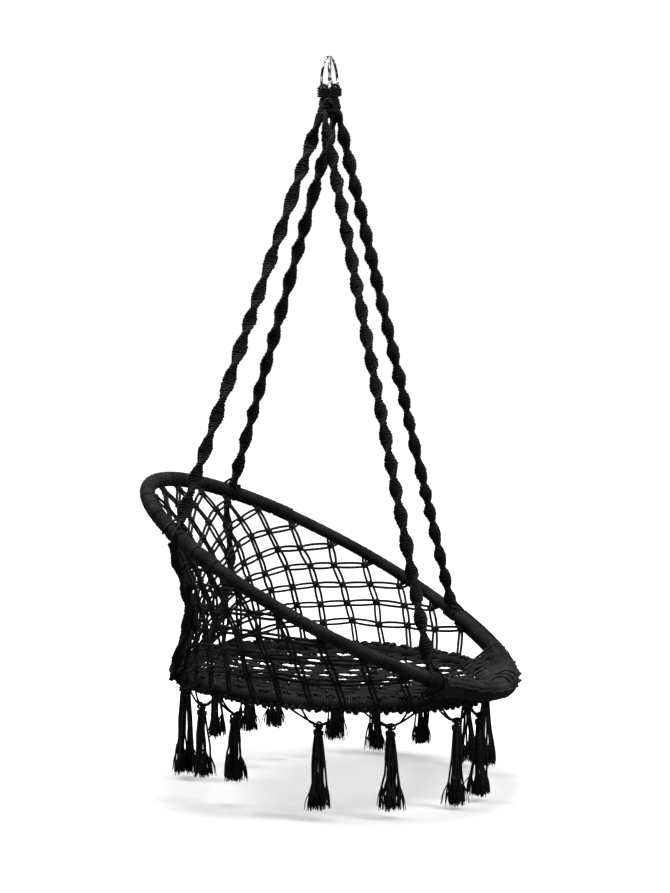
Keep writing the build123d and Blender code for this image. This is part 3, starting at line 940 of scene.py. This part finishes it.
class CHAIR_OT_front_edge(ChairOperator):
    """Knot the front edge, with the cords that fan over it from the seat and the lashing"""

    bl_idname = "chair.front_edge"
    bl_label = "Front edge"

    LEAD = 2.9  # degrees before a front hitch at which the edging stops
    PICOT_STEP = 0.0125
    FAN_GROUPS = np.linspace(-39, 33, 10)
    FAN_STEP = 0.85  # degrees from one cord of the fan to the next
    LASHING_CORD = 0.0032

    def build(self, sizes):
        rng = np.random.default_rng(23)
        self.edging(sizes, rng)
        self.fan(sizes, rng)
        self.lashing(sizes)

    def edging(self, sizes, rng):
        cord = sizes.edge_cord
        strands = Strands()
        reach = TUBE_RADIUS + cord * 0.5
        first, last = self.LEAD - front_tie("right"), front_tie("left") - self.LEAD
        coil(strands, back, first, last, reach, cord, pitch=cord * 1.02, sides=6, rng=rng)
        length = math.radians(last - first) * back.radius
        count = int(length / 0.0105)
        t = np.linspace(0, 1, count * 10)
        angle = first + (last - first) * t
        for row, (face, swing) in enumerate(((-0.35, 0.62), (0.55, 0.55), (-1.15, 0.5))):
            for phase in (0, np.pi):
                wave = 2 * np.pi * count * t + phase + row
                turn = face + swing * np.sin(wave)
                far = reach + cord * (1.02 + 0.30 * np.cos(2 * wave))
                path = back.at(angle, out=far * np.cos(turn), up=far * np.sin(turn))
                guide = back.outward(angle) * column(np.cos(turn)) + column(np.sin(turn)) * back.axis
                strands.add(path, cord * 0.46, guide)
        step = back.degrees(self.PICOT_STEP)
        for k in np.arange(first + 1, last - 1, step):
            s = np.linspace(0, np.pi, 10)
            stand = rng.uniform(0.7, 1.15)
            path = back.at(
                k + step * 0.46 * (1 - np.cos(s)),
                out=0.0145 + 0.0075 * stand * np.sin(s),
                up=0.0045 + (0.0045 + 0.002 * rng.normal()) * np.sin(s),
            )
            strands.add(path, cord * 0.46, back.axis)
        piece("front_edging_knots", strands, "edge_cord", ["front_edging"], body="chair")

    def fan(self, sizes, rng):
        """Cords from the seat over both hoops, in groups."""
        cord = sizes.net_cord * 0.82
        for number, (start, end) in enumerate(zip(self.FAN_GROUPS[:-1], self.FAN_GROUPS[1:])):
            strands = Strands()
            for angle in np.arange(start, end, self.FAN_STEP):
                angle = angle + rng.uniform(-0.3, 0.3)
                low = np.interp(abs(angle), net_surface.back_angles, net_surface.seat_angles)
                low = math.copysign(low, angle)
                slant = rng.uniform(-1.5, 1.5)
                lift = rng.uniform(0, 0.0014)
                line = smooth_line(
                    [
                        seat.at(low + slant * 1.6, out=-0.030, up=-0.001 + lift),
                        seat.at(low + slant, out=-0.014, up=0.010 + lift),
                        seat.at(low, out=0.001, up=0.0150 + lift),
                        back.at(angle, out=-0.0125, up=0.0030 + lift),
                        back.at(angle, out=-0.001, up=0.0155 + lift),
                        back.at(angle + slant * 0.3, out=0.0105, up=0.0105 + lift),
                        back.at(angle + slant * 0.3, out=0.0140, up=0.0030),
                    ],
                    26,
                )
                strands.add(line, cord / 2, back.axis * 0.9 + back.outward(angle) * 0.5)
            made = piece(f"front_fan_{number + 1:02d}", strands, "edge_cord")
            centre = (start + end) / 2
            arc = math.copysign(math.radians(180 - abs(centre)) * back.radius, centre)
            bend_with_seat(made, arc)

    def lashing(self, sizes):
        cord = self.LASHING_CORD
        low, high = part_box("front_lashing")
        strands = Strands()
        turn = np.linspace(0, 2 * np.pi, 44, endpoint=False)
        way = np.stack([np.zeros(44), np.cos(turn), np.sin(turn)], -1)
        for x in np.linspace(low.x + 0.004, high.x - 0.004, 3):
            for shift in (-cord, 0, cord):
                rounds = []
                for hoop, reach in ((back, 0.0205), (seat, 0.0150)):
                    angle = math.degrees(math.asin((x + shift) / hoop.radius))
                    rounds.append((hoop.at(angle), reach))
                supports = [centre @ way.T + reach for centre, reach in rounds]
                nearest = np.argmax(supports, axis=0)
                path = np.array([rounds[k][0] + rounds[k][1] * w for k, w in zip(nearest, way)])
                strands.add(path, cord / 2, way + ACROSS * 0.01, 6, True)
        made = piece("front_lashing_cords", strands, "edge_cord", ["front_lashing"])
        Vector(back.at(0))
        Vector(seat.at(0))
        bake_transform(made)


class CHAIR_OT_tails(ChairOperator):
    """Run the rear ropes' tails down outside the net and knot them to the seat hoop"""

    bl_idname = "chair.tails"
    bl_label = "Rope tails"

    BAND = (0.021, 0.0135, 0.0046, 0.0094)  # width, thickness, cord and pitch of the half knots
    HALF_TURN = 0.062
    KNOT_CORD = 0.0046

    def build(self, sizes):
        rng = np.random.default_rng(29)
        for side_name, side in SIDES.items():
            seat_angle = float(seat.angle_of(middle(f"drop_knot_{side_name}")))
            back_angle = np.interp(abs(seat_angle), net_surface.seat_angles, net_surface.back_angles)
            arc = side * math.radians(180 - back_angle) * back.radius
            high, low = net_surface.ends(arc)
            _, _, out = net_surface.directions(arc, 0.15)
            out = out * (1 if out @ (high * (1, 1, 0)) > 0 else -1)
            down = unit(low - high)
            start, end = high + down * 0.018 + out * 0.006, low + out * 0.008

            def waist(share, arc=arc, start=start, end=end, out=out):
                depth = share * net_surface.drop(arc)
                straight = start + column(share) * (end - start)
                drawn = net_surface.at(np.full(len(share), arc), depth) + out * 0.012
                blend = column(np.clip(4 * share * (1 - share), 0, 1))
                return (drawn - straight) * blend

            strands = Strands()
            sennit(strands, start, end, self.BAND, self.HALF_TURN, rng, waist=waist)
            node = f"drop_rope_{side_name}"
            made = piece(f"{node}_knots", strands, "knotted_rope", [node])
            bend_with_seat(made, arc)
            self.knot(side_name, seat_angle, rng)

    def knot(self, side_name, angle, rng):
        node = f"drop_knot_{side_name}"
        cord = self.KNOT_CORD
        strands = Strands()
        half = seat.degrees(0.014)
        reach = 0.0120 + cord * 0.5
        coil(strands, seat, angle - half, angle + half, reach, cord, steps=18, sides=6, rng=rng)
        out = seat.outward(angle)
        along = np.cross(seat.axis, out)
        overhand(strands, seat.at(angle, out=0.0155), 0.026, 0.026, 0.014, cord, (along, seat.axis, out))
        piece(f"{node}_cords", strands, "knotted_rope", [node], body="seat")


class CHAIR_OT_seat_hoop(ChairOperator):
    """Hitch the seat's cords round the seat hoop, with a ragged row of knots below it"""

    bl_idname = "chair.seat_hoop"
    bl_label = "Seat hoop"

    KNOT_STEP = 0.0135

    def build(self, sizes):
        rng = np.random.default_rng(31)
        cord = sizes.seat_cord
        strands = Strands()
        coil(strands, seat, 2, 358, TUBE_RADIUS + cord * 0.45, cord, pitch=cord, rng=rng)
        piece("seat_hoop_cords", strands, "wound_cord", ["seat_hoop_winding"], body="seat")
        strands = Strands()
        step = seat.degrees(self.KNOT_STEP)
        for angle in np.arange(0, 360, step):
            angle = angle + rng.uniform(-0.3, 0.3)
            out = seat.outward(angle)
            along = np.cross(seat.axis, out)
            droop = rng.uniform(-0.0025, 0.002)
            face = unit(out - seat.axis * 0.55)
            centre = seat.at(angle, out=0.0115, up=-0.0085 + droop)
            tall = rng.uniform(0.011, 0.015)
            axes = (along, np.cross(face, along), face)
            turn = rng.uniform(0, 2)
            overhand(strands, centre, 0.0135, tall, 0.0095, 0.0040, axes, sides=5, steps=30, turn=turn)
        for angle in np.arange(0, 360, step * 1.15):
            angle = angle + rng.uniform(-1.0, 1.0)
            out = seat.outward(angle)
            along = np.cross(seat.axis, out)
            face = unit(seat.axis - out * rng.uniform(-0.3, 0.5))
            centre = seat.at(angle, out=rng.uniform(-0.006, 0.002), up=0.0125 + rng.uniform(0, 0.002))
            size = rng.uniform(0.012, 0.019)
            axes = (along, np.cross(face, along), face)
            turn = rng.uniform(0, 2)
            overhand(strands, centre, size, 0.015, 0.0090, 0.0042, axes, sides=5, steps=30, turn=turn)
        piece("seat_hoop_knots", strands, "edge_cord", body="seat")


class CHAIR_OT_seat_net(ChairOperator):
    """Knot the close net of the seat, dished a little inside its hoop"""

    bl_idname = "chair.seat_net"
    bl_label = "Seat net"

    STEP = 0.0205  # across the seat from one column of knots to the next
    ROW = 0.043  # front to back from one row to the next
    RIM = 0.288
    SAG = 0.022
    FLAT = 0.60  # across the net before it is stretched in its hoop

    def build(self, sizes):
        rng = np.random.default_rng(37)
        strands = Strands()
        knots = {}
        rows, columns = int(self.RIM / self.ROW) + 2, int(self.RIM / self.STEP) + 2
        for j in range(-rows, rows + 1):
            for i in range(-columns, columns + 1):
                if (i + j) % 2 == 0:
                    loose = rng.normal(0, 0.0012, 2)
                    knots[i, j] = np.array((self.STEP * i + loose[0], self.ROW * j + loose[1]))
        axes = (ACROSS, -seat.forward, seat.axis)
        for (i, j), spot in knots.items():
            if np.hypot(*spot) < self.RIM - 0.010:
                size = rng.uniform(0.013, 0.016)
                overhand(strands, self.place(*spot), size, 0.015, 0.0085, 0.0034, axes, sides=5, steps=30)
            for side in (-1, 1):
                below = knots.get((i + side, j + 1))
                if below is not None:
                    self.bundle(strands, spot, below, sizes, rng)
        made = piece("seat_net_cords", strands, "net_cord", ["seat_net"], body="seat")

    def place(self, x, y):
        """A point of the dish, x to the left and y to the rear of the hoop's centre."""
        away = np.hypot(x, y) / self.RIM
        sag = self.SAG * np.clip(1 - away**2, 0, 1)
        return seat.centre + column(x) * ACROSS - column(y) * seat.forward - column(sag) * seat.axis

    def bundle(self, strands, spot, below, sizes, rng):
        t = np.linspace(0, 1, 9)
        x, y = (spot[k] + (below[k] - spot[k]) * t for k in (0, 1))
        inside = np.hypot(x, y) < self.RIM
        if inside.sum() < 3:
            return
        way = unit(below - spot)
        for offset in (-1, 0, 1):
            wide = offset * (0.0018 + 0.0022 * np.sin(np.pi * t))
            lift = rng.normal(0, 0.0010) * np.sin(np.pi * t) + 0.0006 * (offset == 0)
            path = self.place(x - way[1] * wide, y + way[0] * wide) + column(lift) * seat.axis
            strands.add(path[inside], sizes.net_cord * 0.44, seat.axis)


class CHAIR_OT_bridles(ChairOperator):
    """Hang a V of doubled cord under the seat hoop for each tassel"""

    bl_idname = "chair.bridles"
    bl_label = "Bridles"

    SPREAD = 0.040  # along the hoop from a tassel to each foot of its V

    def build(self, sizes):
        rng = np.random.default_rng(41)
        cord = sizes.tassel_cord
        strands = Strands()
        for node in TASSEL_NODES:
            knot = self.knot_place(node)
            angle = float(seat.angle_of(knot))
            along = np.cross(seat.axis, seat.outward(angle))
            for side in (-1, 1):
                for pair in (-1, 1):
                    spread = seat.degrees(self.SPREAD * rng.uniform(0.85, 1.15)) + pair * 0.75
                    top = seat.at(angle - side * spread, out=0.0035 * pair, up=-0.0135)
                    sag = UP * -0.006 * rng.uniform(0.3, 1.3)
                    middle_point = (top + knot) / 2 + sag + along * side * 0.002 * pair
                    tail = knot - UP * 0.008
                    line = smooth_line([top + UP * 0.004, top, middle_point, knot, tail], 18)
                    strands.add(line, cord / 2, seat.outward(angle))
            axes = (unit(along * (1, 1, 0)), -UP, unit(seat.outward(angle) * (1, 1, 0)))
            overhand(strands, knot, 0.021, 0.018, 0.015, cord, axes, turn=rng.uniform(0, 2))
        piece("tassel_bridle_cords", strands, "tassel_cord", ["tassel_bridles"], body="seat")

    @staticmethod
    def knot_place(node):
        low, high = corners_of(node)
        place = (low + high) / 2
        place[2] = high[2] + 0.0072
        return place


class CHAIR_OT_tassels(ChairOperator):
    """Hang the tassels, each a bundle of twisted cords with frayed ends"""

    bl_idname = "chair.tassels"
    bl_label = "Tassels"

    CORDS = 11
    FIBRES = 13

    def build(self, sizes):
        for number, node in enumerate(TASSEL_NODES):
            rng = np.random.default_rng(100 + number)
            low, high = corners_of(node)
            centre = (low + high) / 2
            cords = self.CORDS + (6 if number == 0 else int(rng.integers(-1, 3)))
            fat = 1.35 if number == 0 else 1.0
            strands = Strands()
            for k in range(cords):
                turn = 2 * np.pi * (k + rng.uniform(-0.25, 0.25)) / cords
                self.cord(strands, centre, high[2], low[2], turn, k % 2, fat, sizes, rng)
            self.neck(strands, centre, high[2], fat, sizes)
            piece(f"{node}_cords", strands, "tassel_cord", [node], body=node)

    def cord(self, strands, centre, top, tip, turn, inner, fat, sizes, rng):
        thick = sizes.tassel_cord * rng.uniform(0.92, 1.05)
        fray = sizes.fray_length * rng.uniform(0.75, 1.15)
        end = tip + fray + rng.uniform(0, 0.012)
        heights = np.linspace(0, 1, 30)
        close = 0.5 if inner else 1.0
        stray = 1.5 if rng.random() < 0.14 else 1.0
        spread = (0.0045, 0.0068, rng.uniform(0.0080, 0.0135), rng.uniform(0.0095, 0.0175) * stray)
        away = np.interp(heights, (0, 0.13, 0.55, 1), spread) * close * fat
        swirl = turn + heights * rng.uniform(-0.7, 0.7)
        sway = rng.normal(0, 0.0011, (5, 2)) * np.linspace(0, 1, 5)[:, None]
        x = away * np.cos(swirl) + np.interp(heights, np.linspace(0, 1, 5), sway[:, 0])
        y = away * np.sin(swirl) + np.interp(heights, np.linspace(0, 1, 5), sway[:, 1])
        path = np.stack([centre[0] + x, centre[1] + y, top + (end - top) * heights], -1)
        strands.add(path, thick / 2, (np.cos(turn), np.sin(turn), 0.0))
        way = unit(path[-1] - path[-3])
        for _ in range(self.FIBRES):
            flare = rng.normal(0, 0.0050, 2)
            start = path[-1] - way * 0.004 + np.array((*rng.normal(0, 0.0008, 2), 0))
            low = tip + rng.uniform(0, 0.010)
            finish = np.array((start[0] + flare[0] * 1.1, start[1] + flare[1] * 1.1, low))
            bend = (start + finish) / 2 + np.array((*flare * 0.25, 0))
            line = smooth_line([start, bend, finish], 8)
            thin = np.linspace(0.00125, 0.0006, 8)
            strands.add(line, thin, (1.0, 0.3, 0.0), 4)

    def neck(self, strands, centre, top, fat, sizes):
        cord = sizes.tassel_cord
        wrap = np.linspace(0, 2 * np.pi * 2.2, 44)
        reach = 0.0080 * fat
        path = np.stack(
            [
                centre[0] + reach * np.cos(wrap),
                centre[1] + reach * np.sin(wrap),
                top - 0.001 - wrap / (2 * np.pi) * cord * 0.95,
            ],
            -1,
        )
        strands.add(path, cord / 2, (path - centre) * (1, 1, 0))


OPERATORS = (
    CHAIR_OT_stage,
    CHAIR_OT_steel,
    CHAIR_OT_gather,
    CHAIR_OT_ropes,
    CHAIR_OT_back_hoop,
    CHAIR_OT_back_net,
    CHAIR_OT_front_edge,
    CHAIR_OT_tails,
    CHAIR_OT_seat_hoop,
    CHAIR_OT_seat_net,
    CHAIR_OT_bridles,
    CHAIR_OT_tassels,
)


class CHAIR_PT_panel(bpy.types.Panel):
    """The steps that dress the chair, in order"""

    bl_idname = "CHAIR_PT_panel"
    bl_label = "Hanging Chair"
    bl_space_type = "VIEW_3D"
    bl_region_type = "UI"
    bl_category = "Hanging Chair"

    def draw(self, context):
        for group in (context.scene.chair_sizes, context.scene.chair_look):
            for name in group.bl_rna.properties.keys():
                if name not in ("rna_type", "name"):
                    self.layout.prop(group, name)
        for operator in OPERATORS:
            self.layout.operator(operator.bl_idname)


CLASSES = (ChairSizes, ChairLook, *OPERATORS, CHAIR_PT_panel)


def register():
    for cls in CLASSES:
        bpy.utils.register_class(cls)
    bpy.types.Scene.chair_sizes = bpy.props.PointerProperty(type=ChairSizes)
    bpy.types.Scene.chair_look = bpy.props.PointerProperty(type=ChairLook)


def unregister():
    del bpy.types.Scene.chair_sizes
    del bpy.types.Scene.chair_look
    for cls in reversed(CLASSES):
        bpy.utils.unregister_class(cls)


def main():
    register()
    for operator in OPERATORS:
        category, name = operator.bl_idname.split(".")
        getattr(getattr(bpy.ops, category), name)()


if __name__ == "__main__":
    main()
